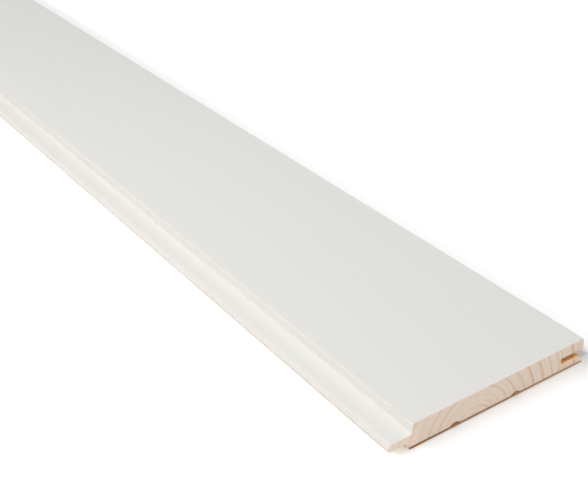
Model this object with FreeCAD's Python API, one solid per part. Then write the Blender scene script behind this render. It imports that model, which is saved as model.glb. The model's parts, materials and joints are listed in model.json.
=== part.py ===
import FreeCAD, Part
import math
import os

# Tongue and groove board: planed softwood panelling with a painted face, one machined piece.
# The board lies on its back. +X runs along its length, +Y from the tongue edge to the groove edge,
# and +Z from the back to the face. The origin is at the middle of the back. Sizes are in millimetres.

# Overall sizes of the board, tongue left out of the face width
LENGTH = 2400.0
THICKNESS = 12.5
FACE_WIDTH = 106.5

# Tongue: how far it stands out of the face's shoulder, and where it sits in the thickness
TONGUE_LENGTH = 13.5
TONGUE_THICKNESS = 3.85
TONGUE_UNDERSIDE = 2.85
TONGUE_ROOT_RADIUS = 0.8
NOSE_TOP_RADIUS = 2.1
NOSE_BOTTOM_RADIUS = 0.9

# Joint with the next board: the groove is the tongue with room to slide and to swell
FIT_CLEARANCE = 0.15
GROOVE_END_CLEARANCE = 1.4
GROOVE_ROOT_RADIUS = 0.3
SHADOW_GAP = 2.0

# Lips beside the groove: the back one is shorter, and meets the next board's back shoulder
BACK_LIP_SETBACK = 1.5
BACK_LIP_LEAD_IN_RADIUS = 1.0
LIP_RADIUS = 0.6

# Back shoulder under the tongue, which leans in towards the back
BACK_SHOULDER_LEAN = 1.3
BACK_SHOULDER_ROOT_RADIUS = 0.3

# Eased long edges: softer where the face meets the shoulder above the tongue than above the groove
SHOULDER_ARRIS_RADIUS = 0.8
GROOVE_SIDE_ARRIS_RADIUS = 0.4
BACK_ARRIS_RADIUS = 0.6

# Most of a wall that the roundings at its two ends may take up together
ROUNDING_SHARE = 0.95

# Relief channels planed along the back, placed from the face's shoulder
CHANNEL_COUNT = 2
FIRST_CHANNEL = 25.0
CHANNEL_PITCH = 37.3
CHANNEL_MOUTH = 5.8
CHANNEL_FLOOR = 3.0
CHANNEL_DEPTH = 1.2
CHANNEL_RADIUS = 0.4

# Places that follow from the sizes above
TONGUE_TOP = TONGUE_UNDERSIDE + TONGUE_THICKNESS
GROOVE_LOW = TONGUE_UNDERSIDE - FIT_CLEARANCE
GROOVE_HIGH = TONGUE_TOP + FIT_CLEARANCE
GROOVE_BOTTOM = FACE_WIDTH - TONGUE_LENGTH - GROOVE_END_CLEARANCE
BACK_LIP_END = FACE_WIDTH - BACK_LIP_SETBACK
BACK_SHOULDER = -(SHADOW_GAP + BACK_LIP_SETBACK)
BACK_SHOULDER_TOE = BACK_SHOULDER + BACK_SHOULDER_LEAN
MIDDLE = (FACE_WIDTH - TONGUE_LENGTH) / 2


def channel_corners(centre):
    """Corners of one relief channel in the back, as (across, up, radius)."""
    return [
        (centre - CHANNEL_MOUTH / 2, 0.0, CHANNEL_RADIUS),
        (centre - CHANNEL_FLOOR / 2, CHANNEL_DEPTH, CHANNEL_RADIUS),
        (centre + CHANNEL_FLOOR / 2, CHANNEL_DEPTH, CHANNEL_RADIUS),
        (centre + CHANNEL_MOUTH / 2, 0.0, CHANNEL_RADIUS),
    ]


def section_corners():
    """Corners of the planed section, as (across, up, radius), from the tongue's side of the back round."""
    corners = [(BACK_SHOULDER_TOE, 0.0, BACK_ARRIS_RADIUS)]
    for number in range(CHANNEL_COUNT):
        corners += channel_corners(FIRST_CHANNEL + number * CHANNEL_PITCH)
    corners += [
        (BACK_LIP_END, 0.0, LIP_RADIUS),
        (BACK_LIP_END, GROOVE_LOW, BACK_LIP_LEAD_IN_RADIUS),
        (GROOVE_BOTTOM, GROOVE_LOW, GROOVE_ROOT_RADIUS),
        (GROOVE_BOTTOM, GROOVE_HIGH, GROOVE_ROOT_RADIUS),
        (FACE_WIDTH, GROOVE_HIGH, LIP_RADIUS),
        (FACE_WIDTH, THICKNESS, GROOVE_SIDE_ARRIS_RADIUS),
        (0.0, THICKNESS, SHOULDER_ARRIS_RADIUS),
        (0.0, TONGUE_TOP, TONGUE_ROOT_RADIUS),
        (-TONGUE_LENGTH, TONGUE_TOP, NOSE_TOP_RADIUS),
        (-TONGUE_LENGTH, TONGUE_UNDERSIDE, NOSE_BOTTOM_RADIUS),
        (BACK_SHOULDER, TONGUE_UNDERSIDE, BACK_SHOULDER_ROOT_RADIUS),
    ]
    return corners


def tangent_length(before, corner, after, radius):
    """How far from a sharp corner its rounding of this radius starts."""
    half_angle = (before - corner).getAngle(after - corner) / 2
    return radius / math.tan(half_angle)


def limited_radii(points, radii):
    """The wanted radii, made smaller where two roundings don't fit on the wall between them."""
    count = len(points)
    starts = [
        tangent_length(points[i - 1], points[i], points[(i + 1) % count], radii[i])
        for i in range(count)
    ]
    room = [
        points[i].distanceToPoint(points[(i + 1) % count]) / (starts[i] + starts[(i + 1) % count])
        for i in range(count)
    ]
    return [
        radii[i] * min(1.0, ROUNDING_SHARE * room[i - 1], ROUNDING_SHARE * room[i])
        for i in range(count)
    ]


def rounded_corner(before, corner, after, radius):
    """Start, middle and end of the arc that rounds a corner between two straight walls."""
    to_before = (before - corner).normalize()
    to_after = (after - corner).normalize()
    half_angle = to_before.getAngle(to_after) / 2
    bisector = (to_before + to_after).normalize()
    start = tangent_length(before, corner, after, radius)
    middle_reach = radius / math.sin(half_angle) - radius
    return (
        corner + to_before * start,
        corner + bisector * middle_reach,
        corner + to_after * start,
    )


def section_wire(x):
    """The closed outline of the section at one place along the board."""
    corners = section_corners()
    points = [FreeCAD.Vector(x, across - MIDDLE, up) for across, up, _ in corners]
    radii = limited_radii(points, [radius for _, _, radius in corners])
    count = len(points)
    arcs = [
        rounded_corner(points[i - 1], points[i], points[(i + 1) % count], radii[i])
        for i in range(count)
    ]
    edges = []
    for i, (start, middle, end) in enumerate(arcs):
        next_start = arcs[(i + 1) % count][0]
        edges.append(Part.Arc(start, middle, end).toShape())
        edges.append(Part.LineSegment(end, next_start).toShape())
    return Part.Wire(edges)


def make_board():
    """The whole board: its section drawn out over its length."""
    section = Part.Face(section_wire(-LENGTH / 2))
    return section.extrude(FreeCAD.Vector(LENGTH, 0, 0))


def main():
    board = make_board()
    os.makedirs("parts", exist_ok=True)
    board.exportStep("parts/board.step")
    box = board.BoundBox
    print("board valid:", board.isValid(), "solids:", len(board.Solids))
    print("size: %.2f x %.2f x %.2f mm" % (box.XLength, box.YLength, box.ZLength))
    print("volume: %.1f cm3" % (board.Volume / 1000))


main()
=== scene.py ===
# %% [markdown]
# # A painted tongue and groove board
#
# The object is one piece of planed spruce panelling: a tongue along one long edge, a groove along
# the other, two relief channels in the back, and a satin white paint on every side that shows once
# it is on a wall. This lesson dresses the construction model of that board, and it starts by
# loading it. The model stays as it is. Everything below is in metres, in the model's own frame: X
# along the board, Y from the tongue to the groove, Z from the back up to the painted face.

# %% Load the construction model
import json
import math

import bmesh
import bpy
from mathutils import Matrix, Vector, noise


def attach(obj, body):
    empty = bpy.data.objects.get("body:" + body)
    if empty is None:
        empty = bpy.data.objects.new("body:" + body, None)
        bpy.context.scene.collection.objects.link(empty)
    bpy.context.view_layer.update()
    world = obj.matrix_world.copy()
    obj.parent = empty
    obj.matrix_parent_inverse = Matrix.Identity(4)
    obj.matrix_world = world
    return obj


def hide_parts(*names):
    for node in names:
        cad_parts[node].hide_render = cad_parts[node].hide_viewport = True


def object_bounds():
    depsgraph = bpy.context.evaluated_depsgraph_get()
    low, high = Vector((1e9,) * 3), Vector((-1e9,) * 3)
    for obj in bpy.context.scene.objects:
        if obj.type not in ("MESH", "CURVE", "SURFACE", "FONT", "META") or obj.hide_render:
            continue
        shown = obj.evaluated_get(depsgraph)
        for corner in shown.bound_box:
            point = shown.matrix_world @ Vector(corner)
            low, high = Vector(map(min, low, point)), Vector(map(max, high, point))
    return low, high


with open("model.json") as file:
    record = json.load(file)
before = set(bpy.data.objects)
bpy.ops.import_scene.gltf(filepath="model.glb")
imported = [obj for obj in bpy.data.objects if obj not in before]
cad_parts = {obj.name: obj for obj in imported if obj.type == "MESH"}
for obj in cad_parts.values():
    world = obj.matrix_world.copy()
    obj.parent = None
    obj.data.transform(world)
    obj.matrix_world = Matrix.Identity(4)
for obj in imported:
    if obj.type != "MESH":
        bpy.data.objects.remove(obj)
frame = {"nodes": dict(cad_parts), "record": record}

MM = 0.001
cad_low, cad_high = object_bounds()
board_size = cad_high - cad_low
print("board of the model, mm:", [round(side / MM, 2) for side in board_size])

# %% [markdown]
# ## The board's shape
#
# The model's node already has the right section, with every edge rounded. Its mesh may not be
# changed, so the visible board is a copy. The copy comes as loose triangles: merging the doubles
# closes it, and dissolving flat edges turns each planed strip into one long face and each sawn end
# into one many-sided face. That is a clean start for cutting in the detail, and it keeps the
# visible board exactly as large as the real one.

# %% Copy the section and close it
FLAT_ANGLE = math.radians(1)
WELD = 0.001 * MM

shape = bmesh.new()
shape.from_mesh(frame["nodes"]["board"].data)
bake_map = shape.loops.layers.uv.new("OFBake")
bmesh.ops.remove_doubles(shape, verts=shape.verts, dist=WELD)
bmesh.ops.dissolve_limit(shape, angle_limit=FLAT_ANGLE, verts=shape.verts, edges=shape.edges)
print("closed copy:", len(shape.verts), "points,", len(shape.faces), "faces")

# %% [markdown]
# ## Measuring round the section
#
# Later the long faces are unrolled into a flat map, like the label of a bottle. That needs each
# face's distance round the section. It is found now, while every long face is still a plain strip:
# from one strip the walk steps over the edge to the next, adds up the widths, and ends where it
# began.

# %% Walk round the section


def runs_along(edge):
    """True for an edge that runs along the board."""
    return abs(edge.verts[0].co.x - edge.verts[1].co.x) > MM


def unroll():
    """Each long face with its first corner and that corner's distance round the section, and the girth."""
    edge = next(e for e in shape.edges if runs_along(e))
    face = edge.link_faces[0]
    found = {}
    distance = 0.0
    while face not in found:
        corner = edge.verts[0].co.yz.copy()
        found[face] = (corner, distance)
        edge = next(e for e in face.edges if runs_along(e) and e is not edge)
        distance += (edge.verts[0].co.yz - corner).length
        face = next(f for f in edge.link_faces if f is not face)
    return found, distance


strips, girth = unroll()
print(len(strips), "long faces, girth %.1f mm" % (girth / MM))

# %% [markdown]
# ## Growth rings
#
# The rings are what the eye reads on the sawn end: arcs round the pith. This board was cut just
# above the pith, so the arcs' common centre lies a little below its back. A ring is wide, pale
# earlywood that ends in a thin, hard, orange line of latewood. Each line has a radius in
# millimetres and two strengths, one on the tongue's side of the pith and one on the groove's side,
# because a trunk rarely grows alike all round and a dry summer leaves a fainter line than a good
# one. These few values drive the relief of the ends here and the colour of the wood below.

# %% The rings' sizes
RINGS = ((8.6, 0.3, 0.5), (12.2, 0.35, 0.85), (14.9, 0.3, 0.25), (18.0, 0.35, 0.35),
         (22.6, 0.7, 0.6), (27.8, 0.7, 0.7), (33.2, 0.2, 0.55), (39.0, 0.4, 1.0),
         (45.6, 0.4, 0.8), (48.3, 0.5, 0.0), (51.0, 0.4, 0.9), (56.4, 0.3, 0.45),
         (58.6, 0.3, 0.65), (66.0, 0.5, 1.0), (70.4, 0.3, 0.1), (76.0, 0.7, 0.7))
PITH_FROM_GROOVE_EDGE = 70.5 * MM
PITH_HEIGHT = -7.5 * MM
pith = Vector((cad_high.x, cad_high.y - PITH_FROM_GROOVE_EDGE, PITH_HEIGHT))


def ring_radius(y, z):
    """Distance from the pith in millimetres."""
    return math.hypot(y - pith.y, z - pith.z) / MM


print("pith at", [round(place / MM, 1) for place in pith], "mm, ring lines:", len(RINGS))

# %% [markdown]
# ## Cutting a face into a grid
#
# Relief needs points to move. A bisecting plane cuts the faces that it is given and leaves the rest
# of the board alone. Planes at even steps make a grid of them, and each plane only gets the faces
# that lie beyond the last one, which keeps the work short.

# %% Cutting helpers
GRID_STEP = 0.5 * MM
ALONG, ACROSS, UP = range(3)


def cut(faces, axis, place):
    """Cut some faces with the plane that stands at one place on an axis. Returns all their pieces."""
    normal = Vector((0, 0, 0))
    normal[axis] = 1
    parts = set(faces) | {e for f in faces for e in f.edges} | {v for f in faces for v in f.verts}
    plane = {"plane_co": normal * place, "plane_no": normal}
    cuts = bmesh.ops.bisect_plane(shape, geom=list(parts), dist=WELD, **plane)
    return [part for part in cuts["geom"] if isinstance(part, bmesh.types.BMFace)]


def slice_up(faces, axis):
    """Cut some faces at even steps along an axis."""
    steps = round(board_size[axis] / GRID_STEP)
    for step in range(1, steps):
        place = cad_low[axis] + board_size[axis] * step / steps
        faces = [f for f in cut(faces, axis, place) if f.calc_center_median()[axis] > place]


def inner_points(faces):
    """The points that only these faces share, so not those on their common outline."""
    faces = set(faces)
    return {v for f in faces for v in f.verts if faces.issuperset(v.link_faces)}


print("grid of %.1f mm" % (GRID_STEP / MM))

# %% [markdown]
# ## Relief of the sawn ends
#
# A saw tears soft earlywood a little deeper than hard latewood, so each ring line stands proud by a
# few hundredths of a millimetre. A bump texture could fake that, but then the mesh alone would have
# a dead flat end. Here the end is cut into a fine grid, and the grid's inner points are moved along
# X. Points on the rim stay, so the board keeps its outline and its length.

# %% Cut the ends into a grid and sink the earlywood
LATEWOOD_RELIEF = 0.06 * MM
LATEWOOD_HALF_WIDTH = 0.8
END_TOLERANCE = 0.01 * MM


def end_faces(x):
    """The faces that lie in the sawn end at this place along the board."""
    return [f for f in shape.faces if all(abs(v.co.x - x) < END_TOLERANCE for v in f.verts)]


def latewood_height(y, z):
    """How far the nearest ring line lifts a point of the sawn end."""
    gap, sides = min((abs(ring_radius(y, z) - radius), sides) for radius, *sides in RINGS)
    return LATEWOOD_RELIEF * sides[y > pith.y] * max(0.0, 1 - gap / LATEWOOD_HALF_WIDTH)


for end_x, inwards in ((cad_high.x, -1), (cad_low.x, 1)):
    slice_up(end_faces(end_x), UP)
    slice_up(end_faces(end_x), ACROSS)
    grid = end_faces(end_x)
    inner = inner_points(grid)
    for v in inner:
        v.co.x += inwards * (LATEWOOD_RELIEF - latewood_height(v.co.y, v.co.z))
    print("sawn end at x = %.1f m:" % end_x, len(grid), "faces,", len(inner), "points moved")

# %% [markdown]
# ## Which faces carry which finish
#
# Paint went on from above and from both sides, so it covers the face, its long edges, the shoulder,
# and the top and nose of the tongue. The groove, the back and the underside of the tongue stayed
# bare and planed, and the two ends are bare and sawn. A face can be told apart by the way it points
# and by where it lies, so no selection by hand is needed. The places of the tongue and the groove
# come from the model's record.

# %% Sort the faces by finish
PAINT, BACK, GROOVE, SAWN = range(4)
BARE_BELOW_TONGUE = 1.5 * MM
GROOVE_HALF_HEIGHT = 2.2 * MM
GROOVE_MARGIN = 1.0 * MM
ENDWAYS = 0.5
DOWNWARDS = -0.8

mounts = {mount["name"]: Vector(mount["pos_m"]) for mount in frame["record"]["mounts"]}
tongue, groove = mounts["tongue"], mounts["groove"]


def finish_of(face):
    """The material number of a face."""
    middle, normal = face.calc_center_median(), face.normal
    if abs(normal.x) > ENDWAYS:
        return SAWN
    if middle.y > groove.y - GROOVE_MARGIN and abs(middle.z - groove.z) < GROOVE_HALF_HEIGHT:
        return GROOVE
    bare = middle.z < tongue.z - BARE_BELOW_TONGUE or normal.z < DOWNWARDS
    return BACK if bare else PAINT


shape.normal_update()
for face in shape.faces:
    face.material_index = finish_of(face)
    face.smooth = True
counts = [sum(f.material_index == kind for f in shape.faces) for kind in (PAINT, BACK, GROOVE, SAWN)]
print("faces painted, on the back, in the groove, sawn:", counts)

# %% [markdown]
# ## A map for baking
#
# The materials work in space and need no UV map, but a picture that is baked from them does.
# Blender's own unwrap gives every square millimetre the same few pixels, so the rings on the two
# small ends would blur. This map lays the long faces side by side over most of the square, as they
# lie round the section, and keeps a band for the two ends, which get more pixels to the millimetre.

# %% Lay out the map
MAP_MARGIN = 0.004
STRIPS_TOP = 0.93


def place_on_map(face, point):
    """A corner's two shares of its field of the map, and the field's columns and rows."""
    shares = [(point[axis] - cad_low[axis]) / board_size[axis] for axis in (ALONG, ACROSS, UP)]
    along, across, up = shares
    if face in strips:
        corner, start = strips[face]
        round_section = (start + (point.yz - corner).length) / girth
        return along, round_section, (0.0, 1.0), (0.0, STRIPS_TOP)
    half = (0.5, 1.0) if point.x > 0 else (0.0, 0.5)
    return across, up, half, (STRIPS_TOP, 1.0)


def clear_of_edges(share, span):
    """The place at a share of a span of the map, kept clear of the span's two ends."""
    return span[0] + MAP_MARGIN + share * (span[1] - span[0] - 2 * MAP_MARGIN)


for face in shape.faces:
    for loop in face.loops:
        across, up, columns, rows = place_on_map(face, loop.vert.co)
        loop[bake_map].uv = (clear_of_edges(across, columns), clear_of_edges(up, rows))
print("the long faces take %.0f%% of the map" % (100 * STRIPS_TOP))

# %% [markdown]
# ## Torn fibres in the groove
#
# The saw lifted the fibres where it left the floor of the groove. They stand as a low, uneven swell
# behind the cut, which catches the light as a pale rim. The floor of the groove is cut across a few
# times close to the end, and then lengthways into narrow strips. The new points are lifted: pairs
# of a distance behind the cut and a share of the height give the swell its profile, and a noise
# makes it uneven.

# %% Lift the fibres
SWELL = ((0.3, 0.45), (0.8, 0.85), (1.4, 1.0), (6.0, 0.0))
SWELL_HEIGHT = 0.8 * MM
SWELL_DEPTH = SWELL[-1][0] * MM
TUFT_WIDTH = 1.5 * MM
UNEVEN = 0.25
LEVEL = 0.99


def groove_floor(depth):
    """The faces of the groove's floor that lie less than this far behind the near end."""
    found = []
    for face in shape.faces:
        middle = face.calc_center_median()
        low_in_groove = middle.y > groove.y and middle.z < groove.z and face.normal.z > LEVEL
        if low_in_groove and face.material_index == GROOVE and middle.x > cad_high.x - depth:
            found.append(face)
    return found


for behind, _ in SWELL:
    cut(groove_floor(board_size.x), ALONG, cad_high.x - behind * MM)
slice_up(groove_floor(SWELL_DEPTH), ACROSS)
tufts = inner_points(groove_floor(SWELL_DEPTH))
for behind, share in SWELL:
    row = [v for v in tufts if abs(cad_high.x - behind * MM - v.co.x) < END_TOLERANCE]
    for v in row:
        uneven = 1 + UNEVEN * noise.noise(Vector((v.co.y / TUFT_WIDTH, behind, 0)))
        v.co.z += SWELL_HEIGHT * share * uneven
print(len(tufts), "points of the swell lifted")

# %% [markdown]
# ## The piece
#
# The mesh becomes an object at the origin, unturned and unscaled. It stands for the model's node
# and rides on its only body. Smooth shading rounds the eased edges, and edges sharper than 30
# degrees stay crisp.

# %% Make the object
SHARP_ANGLE = math.radians(30)

mesh = bpy.data.meshes.new("painted_board")
shape.to_mesh(mesh)
shape.free()
mesh.set_sharp_from_angle(angle=SHARP_ANGLE)
board = bpy.data.objects.new("painted_board", mesh)
bpy.context.scene.collection.objects.link(board)
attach(board, "root")
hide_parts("board")
print("painted_board:", len(mesh.polygons), "faces")

# %% [markdown]
# ## Helpers for the materials
#
# A colour is written as the sRGB hex value that a paint chart or a picture gives, and turned to
# linear light once. One function adds a node, sets it and links it, so a material reads as a list
# of steps. A Mix node has sockets for each kind of value: 2 and 3 take numbers and give output 0,
# and 6 and 7 take colours and give output 2.

# %% Colour and node helpers
NOISE_SPAN = (0.3, 0.7)


def linear(hex_colour):
    """Linear RGBA of an sRGB hex colour."""
    channels = [int(hex_colour[i:i + 2], 16) / 255 for i in (1, 3, 5)]
    light = [c / 12.92 if c <= 0.04045 else ((c + 0.055) / 1.055) ** 2.4 for c in channels]
    return (*light, 1.0)


def add(tree, kind, inputs=None, **settings):
    """Add a shader node with its settings. An input is a value or the output that it is linked to."""
    node = tree.nodes.new("ShaderNode" + kind)
    for name, value in settings.items():
        setattr(node, name, value)
    for key, value in (inputs or {}).items():
        if isinstance(value, bpy.types.NodeSocket):
            tree.links.new(value, node.inputs[key])
        else:
            node.inputs[key].default_value = value
    return node


def vary(tree, colour, pattern, shades):
    """A colour that a noise pattern makes darker and lighter, between two shades of it."""
    span = {"From Min": NOISE_SPAN[0], "From Max": NOISE_SPAN[1], "To Min": shades[0], "To Max": shades[1]}
    shade = add(tree, "MapRange", {"Value": pattern, **span}).outputs[0]
    return add(tree, "VectorMath", {0: colour, 1: shade}, operation="MULTIPLY").outputs[0]


def new_material(name):
    """An empty node material."""
    material = bpy.data.materials.new(name)
    material.use_nodes = True
    material.node_tree.nodes.clear()
    return material


print("middle grey in linear light:", [round(c, 3) for c in linear("#808080")[:3]])

# %% [markdown]
# ## Spruce as a solid
#
# Wood is not a picture on a surface: the same rings run through the whole board, so its ends,
# groove and back show different cuts of one pattern. The nodes therefore work on the Object
# coordinates. A Mapping node of type Texture puts the pith at zero, leans the trunk a little
# against the board and gives millimetres, so all sizes of the wood's patterns are plain
# millimetres. The rings are true to the given radii at the near end and wander a little further
# along the board.

# %% Nodes for the place in the trunk
TRUNK_LEAN = (0.0, math.radians(0.1), math.radians(-0.35))
WANDER_SPACING = (420.0, 30.0, 30.0)
WANDER = 3.0
WANDER_FULL_AT = 350.0
NOISE_MIDDLE = (0.5, 0.5, 0.5)


def trunk_place(tree):
    """Adds the place in the trunk, in millimetres from the pith at the near end. X runs along the trunk."""
    place = add(tree, "TexCoord").outputs["Object"]
    to_trunk = {"Vector": place, "Location": pith, "Rotation": TRUNK_LEAN, "Scale": (MM, MM, MM)}
    return add(tree, "Mapping", to_trunk, vector_type="TEXTURE").outputs[0]


def wandering_radius(tree, trunk):
    """Adds the distance from the pith in millimetres, which wanders further along the board."""
    coarse = add(tree, "VectorMath", {0: trunk, 1: WANDER_SPACING}, operation="DIVIDE").outputs[0]
    drift = add(tree, "TexNoise", {"Vector": coarse, "Scale": 1.0, "Detail": 2.0}).outputs["Color"]
    centred = add(tree, "VectorMath", {0: drift, 1: NOISE_MIDDLE}, operation="SUBTRACT").outputs[0]
    along = add(tree, "SeparateXYZ", {0: trunk}).outputs["X"]
    growing = {"Value": along, "From Max": -WANDER_FULL_AT, "To Max": WANDER}
    amount = add(tree, "MapRange", growing).outputs[0]
    moved = add(tree, "VectorMath", {0: centred, 1: amount, 2: trunk}, operation="MULTIPLY_ADD").outputs[0]
    across = add(tree, "VectorMath", {0: moved, 1: (0, 1, 1)}, operation="MULTIPLY").outputs[0]
    return add(tree, "VectorMath", {0: across}, operation="LENGTH").outputs["Value"]


print("the rings wander by %.1f mm in all from %.0f mm behind the end on" % (WANDER, WANDER_FULL_AT))

# %% [markdown]
# ## Ring lines
#
# A Wave texture draws rings too, but all of one width. Here a curve turns the radius into a ring
# number: the fraction of that number says how far through the ring a point lies, and a ramp, given
# as pairs of such a share and a strength, draws the ring from it. Two more curves hold each line's
# strength on the tongue's side and on the groove's side.

# %% Nodes for the ring lines
RING_LIMIT = 80.0
SIDE_BLEND = 4.0
LINE_PROFILE = ((0.05, 0.0), (0.72, 0.0), (0.9, 0.45))


def latewood(tree, trunk, radius):
    """Adds the strength of the latewood, from none at 0 to the hardest line at 1."""
    share = add(tree, "Math", {0: radius, 1: RING_LIMIT}, operation="DIVIDE").outputs[0]
    curves = [add(tree, "FloatCurve", {"Value": share}) for _ in range(3)]
    for number, (ring, tongue_side, groove_side) in enumerate(RINGS, 1):
        for curve, height in zip(curves, (number / (len(RINGS) + 1), tongue_side, groove_side)):
            point = curve.mapping.curves[0].points.new(ring / RING_LIMIT, height)
            point.handle_type = "VECTOR"
    for curve in curves:
        curve.mapping.update()
    count, tongue_side, groove_side = (curve.outputs[0] for curve in curves)
    number = add(tree, "Math", {0: count, 1: len(RINGS) + 1.0}, operation="MULTIPLY").outputs[0]
    phase = add(tree, "Math", {0: number}, operation="FRACT").outputs[0]
    profile = add(tree, "ValToRGB", {"Fac": phase})
    stops = profile.color_ramp.elements
    stops[0].color = (1, 1, 1, 1)
    for position, grey in LINE_PROFILE:
        stops.new(position).color = (grey, grey, grey, 1)
    aside = add(tree, "SeparateXYZ", {0: trunk}).outputs["Y"]
    blend = {"Value": aside, "From Min": -SIDE_BLEND, "From Max": SIDE_BLEND}
    side = add(tree, "MapRange", blend).outputs[0]
    vigour = add(tree, "Mix", {0: side, 2: tongue_side, 3: groove_side}).outputs[0]
    return add(tree, "Math", {0: profile.outputs[0], 1: vigour}, operation="MULTIPLY").outputs[0]


print("ring curve up to %.0f mm from the pith" % RING_LIMIT)

# %% [markdown]
# ## Sawn spruce, on the two ends
#
# On a sawn end the cut fibres stand like a brush: it looks matt, paler and a little pinker than the
# planed wood, with a fine grain of dots and the ring lines in orange brown. Towards the tongue the
# end is painted paler still: painted light, because most of the light comes from the tongue's side.
# A picture of end grain could be laid on, but it would not fit the relief. The nodes draw the rings
# from the same values, so colour and relief agree. Single fibres are too fine to show, so the dots
# are drawn about half a millimetre wide.

# %% Sawn spruce material
SAWN_PALE = linear("#E2D2C4")
SAWN_DEEP = linear("#D2BFAE")
SAWN_LINE = linear("#C69C74")
SPECK_SIZE = 0.45
SPECK_SHADES = (0.93, 1.05)
SPECK_RELIEF = 0.05 * MM
SPECK_BUMP = 0.4
CLOUD_SIZE = 9.0
BAND_WIDTH = 1.6
BAND_SHARE = 0.5
# Painted light: the end is made paler towards the tongue's side, where most light comes from.
LIT_SIDE_START = -28.0
LIT_SIDE_FULL = -42.0
PAINTED_LIGHT_GAIN = 1.08
SAWN_ROUGHNESS = 0.85
SAWN_SPECULAR = 0.2


def sawn_spruce():
    """Matt end grain with ring lines, a fine speckle and painted light towards the tongue."""
    material = new_material("sawn_spruce_end_grain")
    tree = material.node_tree
    trunk = trunk_place(tree)
    radius = wandering_radius(tree, trunk)
    late = latewood(tree, trunk, radius)
    specks = add(tree, "TexNoise", {"Vector": trunk, "Scale": 1 / SPECK_SIZE, "Detail": 2.0}).outputs[0]
    clouds = add(tree, "TexNoise", {"Vector": trunk, "Scale": 1 / CLOUD_SIZE, "Detail": 2.0}).outputs[0]
    banding = {"W": radius, "Scale": 1 / BAND_WIDTH, "Detail": 1.0}
    bands = add(tree, "TexNoise", banding, noise_dimensions="1D").outputs[0]
    tone = add(tree, "Mix", {0: BAND_SHARE, 2: clouds, 3: bands}).outputs[0]
    early = add(tree, "Mix", {0: tone, 6: SAWN_PALE, 7: SAWN_DEEP}, data_type="RGBA").outputs[2]
    ringed = add(tree, "Mix", {0: late, 6: early, 7: SAWN_LINE}, data_type="RGBA").outputs[2]
    aside = add(tree, "SeparateXYZ", {0: trunk}).outputs["Y"]
    # Painted light: paler towards the tongue's side.
    painted_light = add(tree, "MapRange", {"Value": aside, "From Min": LIT_SIDE_START, "From Max": LIT_SIDE_FULL,
                                     "To Min": 1.0, "To Max": PAINTED_LIGHT_GAIN}).outputs[0]
    paler = add(tree, "VectorMath", {0: ringed, 1: painted_light}, operation="MULTIPLY").outputs[0]
    colour = vary(tree, paler, specks, SPECK_SHADES)
    relief = {"Height": specks, "Strength": SPECK_BUMP, "Distance": SPECK_RELIEF}
    bump = add(tree, "Bump", relief).outputs[0]
    surface = add(tree, "BsdfPrincipled", {"Base Color": colour, "Normal": bump,
                                           "Roughness": SAWN_ROUGHNESS,
                                           "Specular IOR Level": SAWN_SPECULAR})
    add(tree, "OutputMaterial", {"Surface": surface.outputs[0]})
    return material


sawn = sawn_spruce()
print(sawn.name, len(sawn.node_tree.nodes), "nodes")

# %% [markdown]
# ## Planed spruce, in the groove and on the back
#
# Planing cuts the fibres lengthways, which leaves a smooth, honey-coloured surface with long thin
# streaks. The streaks come from a noise that is stretched along the board. The groove gets a
# deeper, more orange colour than the back: painted shade and bounce light, for light that bounces
# between the groove's bare walls. Close to the near end the torn fibres are paler, and the colour
# there is also painted light, for light that falls into the mouth of the groove. One function makes
# both materials. A picture of planed wood would not meet the rings of the end, but these nodes use
# the same rings, so the lines run on. Single fibres are too fine to show here too, and each streak
# stands for a bundle of them.

# %% Planed spruce material
BACK_EARLY = linear("#E8C69C")
BACK_LATE = linear("#CC9C68")
# Painted shade and bounce light: the groove's wood is deeper and more orange than the back's.
GROOVE_EARLY_PAINTED_BOUNCE = linear("#E6B074")
GROOVE_LATE_PAINTED_BOUNCE = linear("#C88848")
FIBRE_LENGTH = 45.0
FIBRE_WIDTH = 0.5
FIBRE_SHADES = (0.92, 1.05)
FIBRE_RELIEF = 0.05 * MM
FIBRE_BUMP = 0.3
PLANED_ROUGHNESS = 0.6
# Paler torn fibres near the near end, with painted light where light falls into the groove's mouth.
FRAY_AND_LIGHT_DEPTH = 1.3
FRAYED_AND_LIT = linear("#FFE6BC")


def planed_spruce(name, early, line):
    """Bare planed wood of two colours, with rings cut lengthways and fine fibres."""
    material = new_material(name)
    tree = material.node_tree
    trunk = trunk_place(tree)
    late = latewood(tree, trunk, wandering_radius(tree, trunk))
    fibre = (FIBRE_LENGTH, FIBRE_WIDTH, FIBRE_WIDTH)
    stretched = add(tree, "VectorMath", {0: trunk, 1: fibre}, operation="DIVIDE").outputs[0]
    fibres = add(tree, "TexNoise", {"Vector": stretched, "Scale": 1.0, "Detail": 3.0}).outputs[0]
    ringed = add(tree, "Mix", {0: late, 6: early, 7: line}, data_type="RGBA").outputs[2]
    along = add(tree, "SeparateXYZ", {0: trunk}).outputs["X"]
    # Paler torn fibres and painted light towards the near end.
    fray_and_light = add(tree, "MapRange", {"Value": along, "From Min": -FRAY_AND_LIGHT_DEPTH, "From Max": 0.0}).outputs[0]
    frayed_and_lit = add(tree, "Mix", {0: fray_and_light, 6: ringed, 7: FRAYED_AND_LIT}, data_type="RGBA").outputs[2]
    colour = vary(tree, frayed_and_lit, fibres, FIBRE_SHADES)
    relief = {"Height": fibres, "Strength": FIBRE_BUMP, "Distance": FIBRE_RELIEF}
    bump = add(tree, "Bump", relief).outputs[0]
    surface = add(tree, "BsdfPrincipled", {"Base Color": colour, "Normal": bump,
                                           "Roughness": PLANED_ROUGHNESS})
    add(tree, "OutputMaterial", {"Surface": surface.outputs[0]})
    return material


planed_back = planed_spruce("planed_spruce_back", BACK_EARLY, BACK_LATE)
# The groove's material carries painted shade and bounce light in its colours.
planed_groove = planed_spruce("planed_spruce_groove_painted_bounce", GROOVE_EARLY_PAINTED_BOUNCE, GROOVE_LATE_PAINTED_BOUNCE)
print(planed_back.name, "and", planed_groove.name, len(planed_back.node_tree.nodes), "nodes each")
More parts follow.
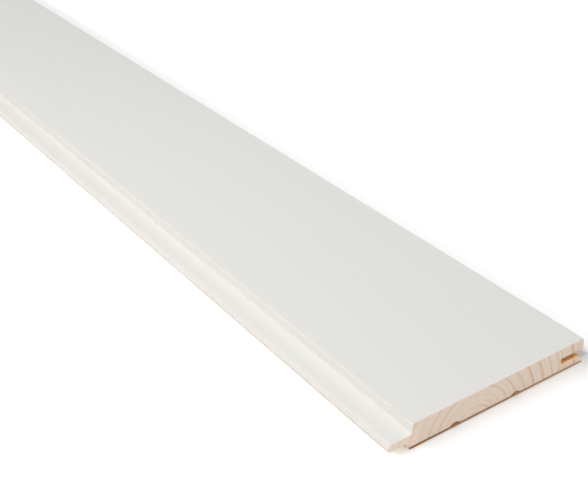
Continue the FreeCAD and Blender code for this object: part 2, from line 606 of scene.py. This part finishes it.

# %% [markdown]
# ## Satin white paint
#
# The paint is a thin factory coat, sprayed and rolled: off-white, with a soft sheen and a fine
# orange peel. The wood under it shows as long, faint ridges and streaks. The coat is thickest on
# the flat face. On eased edges and steep walls it is thinner and a little warmer, so its colour is
# read from the slope: a ramp on the normal's Z. The same ramp also holds painted light and shade:
# steep walls such as the shoulder are painted lighter, and eased edges are painted darker to damp
# their highlight. It could be painted on by hand as well, but a rule follows the shape when that
# changes. At the near saw cut a narrow pale edge shows, and low on the tongue's nose the coat ends
# in a thin, pinkish, slightly wavy line.

# %% Satin paint material
FULL_COAT = linear("#E9E8E3")
# Edge and steep coats: a thinner, warmer coat, with painted shade on edges and painted light on walls.
EDGE_COAT_PAINTED_SHADE = linear("#E3DFD9")
STEEP_COAT_PAINTED_LIGHT = linear("#EFEAE5")
THIN_COAT = linear("#D8C8BC")
CUT_COAT = linear("#F2ECE4")
COAT_AND_LIGHT_BY_SLOPE = ((0.25, STEEP_COAT_PAINTED_LIGHT), (0.5, EDGE_COAT_PAINTED_SHADE), (0.93, EDGE_COAT_PAINTED_SHADE), (0.995, FULL_COAT))
PAINT_EDGE = tongue.z - 0.35 * MM
PAINT_EDGE_BLUR = 0.35 * MM
CUT_EDGE = 0.8 * MM
PEEL_SIZE = 1.2 * MM
PEEL_SHARE = 0.25
RIDGE_LENGTH = 400.0
RIDGE_WIDTH = 2.2
STREAK_SHADES = (0.985, 1.01)
COAT_RELIEF = 0.03 * MM
COAT_BUMP = 0.25
PAINT_ROUGHNESS = 0.48


def satin_paint():
    """Off-white satin coat with painted light and shade by slope, that ends low on the nose of the tongue.
    """
    material = new_material("satin_white_paint")
    tree = material.node_tree
    surroundings = add(tree, "TexCoord").outputs
    place = surroundings["Object"]
    ridge = (RIDGE_LENGTH, RIDGE_WIDTH, RIDGE_WIDTH)
    stretched = add(tree, "VectorMath", {0: trunk_place(tree), 1: ridge}, operation="DIVIDE").outputs[0]
    ridges = add(tree, "TexNoise", {"Vector": stretched, "Scale": 1.0, "Detail": 3.0}).outputs[0]
    peel = add(tree, "TexNoise", {"Vector": place, "Scale": 1 / PEEL_SIZE, "Detail": 1.0}).outputs[0]
    height = add(tree, "Math", {0: peel, 1: PEEL_SHARE, 2: ridges}, operation="MULTIPLY_ADD").outputs[0]
    relief = {"Height": height, "Strength": COAT_BUMP, "Distance": COAT_RELIEF}
    bump = add(tree, "Bump", relief).outputs[0]
    flat = add(tree, "SeparateXYZ", {0: surroundings["Normal"]}).outputs["Z"]
    # Ramp on the slope: coat colour plus painted light on steep walls and painted shade on eased edges.
    slope = add(tree, "ValToRGB", {"Fac": flat})
    stops = slope.color_ramp.elements
    stops[0].color, stops[1].color = STEEP_COAT_PAINTED_LIGHT, FULL_COAT
    for steepness, coat in COAT_AND_LIGHT_BY_SLOPE:
        stops.new(steepness).color = coat
    along, _, up = add(tree, "SeparateXYZ", {0: place}).outputs
    near_cut = {"Value": along, "From Min": cad_high.x - CUT_EDGE, "From Max": cad_high.x}
    at_cut = add(tree, "MapRange", near_cut).outputs[0]
    edged = add(tree, "Mix", {0: at_cut, 6: slope.outputs[0], 7: CUT_COAT}, data_type="RGBA").outputs[2]
    streaked = vary(tree, edged, ridges, STREAK_SHADES)
    wavy = add(tree, "Math", {0: ridges, 1: PAINT_EDGE_BLUR, 2: up}, operation="MULTIPLY_ADD").outputs[0]
    fading = {"Value": wavy, "From Min": PAINT_EDGE, "From Max": PAINT_EDGE + PAINT_EDGE_BLUR}
    cover = add(tree, "MapRange", fading).outputs[0]
    colour = add(tree, "Mix", {0: cover, 6: THIN_COAT, 7: streaked}, data_type="RGBA").outputs[2]
    surface = add(tree, "BsdfPrincipled", {"Base Color": colour, "Normal": bump,
                                           "Roughness": PAINT_ROUGHNESS})
    add(tree, "OutputMaterial", {"Surface": surface.outputs[0]})
    return material


painted = satin_paint()
for finish in (painted, planed_back, planed_groove, sawn):
    board.data.materials.append(finish)
print("slots:", [slot.name for slot in board.material_slots])

# %% [markdown]
# ## Floor
#
# The board lies on a white sweep. A real board touches the floor in a few places only, and a thin
# dark gap shows along the rest, so the floor lies that gap lower. One large face is enough for it.

# %% Make the floor
FLOOR_SIZE = 30.0
FLOOR_GAP = 1.0 * MM

floor_shape = bmesh.new()
bmesh.ops.create_grid(floor_shape, x_segments=1, y_segments=1, size=FLOOR_SIZE / 2)
bmesh.ops.translate(floor_shape, verts=floor_shape.verts, vec=(0, 0, cad_low.z - FLOOR_GAP))
floor_mesh = bpy.data.meshes.new("floor")
floor_shape.to_mesh(floor_mesh)
floor_shape.free()
floor = bpy.data.objects.new("floor", floor_mesh)
bpy.context.scene.collection.objects.link(floor)
print("floor %.1f mm below the board's back" % (FLOOR_GAP / MM))

# %% [markdown]
# ## Where the board lies on the floor
#
# The floor's material has to know where the board lies. A mask painted by hand could tell it, but
# two rectangles do the same and follow the board's own edges when they move. One is the back of the
# board. The other is the deepest shadow, which is set off towards the groove, because most of the
# light comes from the tongue's side.

# %% Rectangles on the floor
BACK_BEHIND_NOSE = 12.0 * MM
UNDER_BOARD_LEAD = 0.45 * MM
SHADE_BEHIND_NOSE = 25.5 * MM
SHADE_BESIDE_GROOVE = 7.0 * MM
SHADE_BEHIND_ENDS = 3.0 * MM
ANY_HEIGHT = 1.0


def beyond(tree, place, behind_nose, beside_groove, past_ends):
    """Adds how far a place lies beyond a rectangle along each axis. It is negative inside.

    The rectangle lies on the floor, and its sides are stated from the board's own edges.
    """
    low, high = cad_low.y + behind_nose, cad_high.y + beside_groove
    centre = Vector((0, (low + high) / 2, 0))
    half = Vector((cad_high.x + past_ends, (high - low) / 2, ANY_HEIGHT))
    offset = add(tree, "VectorMath", {0: place, 1: centre}, operation="SUBTRACT").outputs[0]
    mirrored = add(tree, "VectorMath", {0: offset}, operation="ABSOLUTE").outputs[0]
    return add(tree, "VectorMath", {0: mirrored, 1: half}, operation="SUBTRACT").outputs[0]


print("deepest shadow from %.1f mm behind the nose" % (SHADE_BEHIND_NOSE / MM),
      "to %.1f mm beside the groove" % (SHADE_BESIDE_GROOVE / MM))

# %% [markdown]
# ## White sweep
#
# The sweep lights the board as a plain matt white would. To the camera it also glows, which makes
# the white ground of a product picture. Stronger lamps would do that too, but they would bleach the
# board. There is no glow under the board or in the rectangle of the deepest shadow. From there it
# grows with the distance, in steps that pair a share of its reach with a strength, so the shadow
# stays. Under the board the floor is painted brown: a painted shadow with painted bounce light from
# the bare wood, which shows as a dark brown line in the gap below the board's edges.

# %% White sweep material
FLOOR_COLOUR = linear("#F8F8F8")
# Painted shadow and bounce light: the floor under the board is coloured brown.
PAINTED_SHADE_TONGUE_SIDE = linear("#BE8E62")
PAINTED_SHADE_GROOVE_SIDE = linear("#E8CBA6")
UNDER_BOARD_SOFTNESS = 0.2 * MM
FLOOR_ROUGHNESS = 0.9
GLOW_COLOUR = linear("#F6FFFF")
GLOW_REACH = 100 * MM
GLOW_FAR = 0.8
GLOW_STEPS = ((0.005, 0.1), (0.02, 0.17), (0.08, 0.175), (0.13, 0.19), (0.18, 0.3), (0.25, 0.75))


def seen_directly(tree):
    """One for rays from the camera, a mirror or glass, and zero for rays that light other things."""
    path = add(tree, "LightPath").outputs
    sight = {0: path["Is Camera Ray"], 1: path["Is Glossy Ray"]}
    seen = add(tree, "Math", sight, operation="MAXIMUM").outputs[0]
    return add(tree, "Math", {0: seen, 1: path["Is Transmission Ray"]}, operation="MAXIMUM").outputs[0]


def white_sweep():
    """Matt white floor with a glow that only direct sight gets, which keeps the board's shadow, and painted
    shade under the board.
    """
    material = new_material("white_sweep")
    tree = material.node_tree
    place = add(tree, "TexCoord").outputs["Object"]
    from_shade = beyond(tree, place, SHADE_BEHIND_NOSE, SHADE_BESIDE_GROOVE, -SHADE_BEHIND_ENDS)
    reach = add(tree, "VectorMath", {0: from_shade, 1: (0, 0, 0)}, operation="MAXIMUM").outputs[0]
    distance = add(tree, "VectorMath", {0: reach}, operation="LENGTH").outputs["Value"]
    share = add(tree, "Math", {0: distance, 1: GLOW_REACH}, operation="DIVIDE").outputs[0]
    glow = add(tree, "ValToRGB", {"Fac": share})
    stops = glow.color_ramp.elements
    stops[1].color = (GLOW_FAR, GLOW_FAR, GLOW_FAR, 1)
    for position, grey in GLOW_STEPS:
        stops.new(position).color = (grey, grey, grey, 1)
    from_back = beyond(tree, place, BACK_BEHIND_NOSE, 0.0, UNDER_BOARD_LEAD)
    outside = add(tree, "SeparateXYZ", {0: from_back}).outputs
    nearest = add(tree, "Math", {0: outside["X"], 1: outside["Y"]}, operation="MAXIMUM").outputs[0]
    covered = add(tree, "MapRange", {"Value": nearest, "From Max": -UNDER_BOARD_SOFTNESS}).outputs[0]
    in_open = add(tree, "Mix", {0: covered, 2: glow.outputs[0], 3: 0.0}).outputs[0]
    strength = add(tree, "Math", {0: seen_directly(tree), 1: in_open}, operation="MULTIPLY").outputs[0]
    aside = add(tree, "SeparateXYZ", {0: place}).outputs["Y"]
    side = add(tree, "MapRange", {"Value": aside, "From Min": tongue.y, "From Max": groove.y}).outputs[0]
    # Painted shade under the board, darker and browner towards the tongue's side.
    shade_tints = {0: side, 6: PAINTED_SHADE_TONGUE_SIDE, 7: PAINTED_SHADE_GROOVE_SIDE}
    under = add(tree, "Mix", shade_tints, data_type="RGBA").outputs[2]
    colour = add(tree, "Mix", {0: covered, 6: FLOOR_COLOUR, 7: under}, data_type="RGBA").outputs[2]
    surface = add(tree, "BsdfPrincipled", {"Base Color": colour, "Roughness": FLOOR_ROUGHNESS,
                                           "Specular IOR Level": 0.0, "Emission Color": GLOW_COLOUR,
                                           "Emission Strength": strength})
    add(tree, "OutputMaterial", {"Surface": surface.outputs[0]})
    return material


floor_mesh.materials.append(white_sweep())
print("glow reaches its full strength %.0f mm from the shadow" % (GLOW_REACH / MM))

# %% [markdown]
# ## Light
#
# Soft boxes light the board as in a product picture. A long strip beside the tongue's edge gives
# the face its even tone. At each end a small key light brings out the tongue and its shoulder, and
# a wide fill lights the sawn end, so the board looks alike from both ends. A dim white world
# softens the shadows, and to the camera it is plain white. A picture of a studio could give the
# light too, but lamps can be placed one by one and need no file.

# %% Set up the lamps and the world
WORLD_STRENGTH = 0.32
STRIP_POWER = 10.2
KEY_POWER = 1.15
FILL_POWER = 9.5
KEY_BEHIND_END = 0.2
FILL_AHEAD_OF_END = 1.25
STRIP_PLACE = Vector((0.0, -0.62, 1.0))
KEY_PLACE = Vector((cad_high.x - KEY_BEHIND_END, -0.37, 0.6))
FILL_PLACE = Vector((cad_high.x + FILL_AHEAD_OF_END, -0.2, 0.53))
STRIP_SIZE = (3.2, 0.5)
KEY_SIZE = (0.35, 0.35)
FILL_SIZE = (1.3, 0.8)

world = bpy.data.worlds.new("studio")
bpy.context.scene.world = world
world.use_nodes = True
sky = world.node_tree
sky.nodes.clear()
strength = add(sky, "MapRange", {"Value": seen_directly(sky), "To Min": WORLD_STRENGTH, "To Max": 1.0})
background = add(sky, "Background", {"Color": (1, 1, 1, 1), "Strength": strength.outputs[0]})
add(sky, "OutputWorld", {"Surface": background.outputs[0]})


def soft_box(name, place, target, sides, power):
    """A soft box that shines from a place to a target."""
    lamp = bpy.data.lights.new(name, "AREA")
    lamp.shape = "RECTANGLE"
    lamp.size, lamp.size_y = sides
    lamp.energy = power
    box = bpy.data.objects.new(name, lamp)
    box.location = place
    box.rotation_euler = (target - place).to_track_quat("-Z", "Y").to_euler()
    box.visible_camera = False
    bpy.context.scene.collection.objects.link(box)


soft_box("strip", STRIP_PLACE, Vector((0, 0, 0)), STRIP_SIZE, STRIP_POWER)
for end, flip in (("near", Vector((1, 1, 1))), ("far", Vector((-1, 1, 1)))):
    beside_key = Vector((KEY_PLACE.x, 0, 0)) * flip
    sawn_end = Vector((cad_high.x, 0, 0)) * flip
    soft_box(end + "_key", KEY_PLACE * flip, beside_key, KEY_SIZE, KEY_POWER)
    soft_box(end + "_fill", FILL_PLACE * flip, sawn_end, FILL_SIZE, FILL_POWER)
print("lamps:", [lamp.name for lamp in bpy.data.lights])

# %% [markdown]
# ## Camera
#
# The camera stands in front of the sawn end, to the tongue's side, and looks down along the board.
# Its place and turn come from fitting the board's long edges and its end to the photograph. A
# camera set by eye would not make the two pictures line up.

# %% Camera
FOCAL_PIXELS = 1090.8
IMAGE_WIDTH = 588
SENSOR = 36.0
CLIP_START = 10 * MM
CAMERA_AHEAD = 286.0 * MM
CAMERA_ASIDE = 286.8 * MM
CAMERA_HEIGHT = 322.5 * MM
CAMERA_HEADING = math.radians(90 - 32.67)
CAMERA_TILT = math.radians(90 - 30.07)
CAMERA_ROLL = math.radians(-2.64)

camera_data = bpy.data.cameras.new("camera")
camera_data.sensor_width = SENSOR
camera_data.lens = SENSOR * FOCAL_PIXELS / IMAGE_WIDTH
camera_data.clip_start = CLIP_START
camera = bpy.data.objects.new("camera", camera_data)
heading = Matrix.Rotation(CAMERA_HEADING, 4, "Z")
tilt = Matrix.Rotation(CAMERA_TILT, 4, "X")
roll = Matrix.Rotation(CAMERA_ROLL, 4, "Z")
stand = Matrix.Translation((cad_high.x + CAMERA_AHEAD, -CAMERA_ASIDE, CAMERA_HEIGHT))
camera.matrix_world = stand @ heading @ tilt @ roll
bpy.context.scene.collection.objects.link(camera)
bpy.context.scene.camera = camera
bpy.context.scene.view_settings.view_transform = "Standard"
print("lens %.1f mm" % camera_data.lens)
